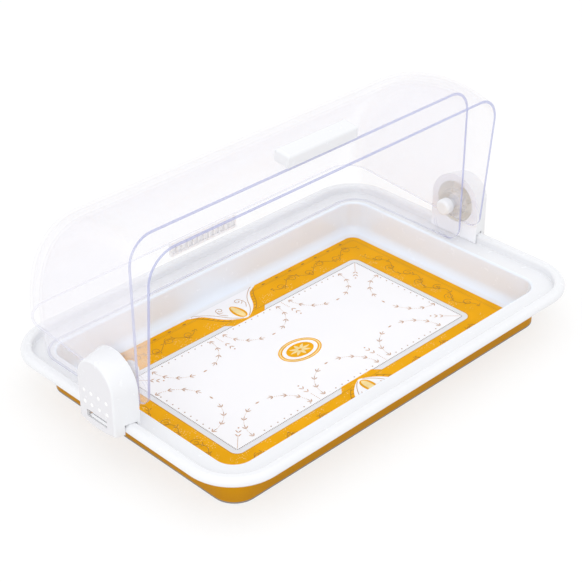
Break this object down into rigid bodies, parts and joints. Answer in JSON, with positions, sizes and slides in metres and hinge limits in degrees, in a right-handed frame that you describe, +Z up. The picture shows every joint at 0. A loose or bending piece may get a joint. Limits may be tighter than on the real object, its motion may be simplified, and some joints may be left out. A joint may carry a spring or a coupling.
{
  "type": "bread box",
  "caption": "Roll-top bread box: white oblong tray with a raised rim, brackets at its ends, and clear nested covers that turn on pivot pins.",
  "frame": {"origin": "middle of the underside of the object's box, on the surface that it stands on", "axes": "+X along the pivot axis and the tray's long side, -Y towards the front, +Z up"},
  "size_m": [0.437, 0.28, 0.2096],
  "materials": {
    "white_plastic": "glossy",
    "clear_plastic": "clear, glossy",
    "gold_print": "printed film, satin"
  },
  "bodies": {
    "base": {"tray": "white_plastic", "floor_label": "gold_print", "wall_label": "gold_print", "left_bracket": "white_plastic", "right_bracket": "white_plastic", "left_pivot_pin": "white_plastic", "right_pivot_pin": "white_plastic"},
    "front_roll": {"front_cover": "clear_plastic", "front_handle": "white_plastic"},
    "rear_roll": {"rear_cover": "clear_plastic", "rear_handle": "white_plastic"}
  },
  "joints": [
    {"name": "front_cover_turn", "type": "hinge", "parent": "base", "child": "front_roll", "pos_m": [0, 0, 0.07], "axis": [1, 0, 0], "range_deg": [0, 85.5]},
    {"name": "rear_cover_turn", "type": "hinge", "parent": "base", "child": "rear_roll", "pos_m": [0, 0, 0.07], "axis": [1, 0, 0], "range_deg": [0, 85.5]}
  ]
}
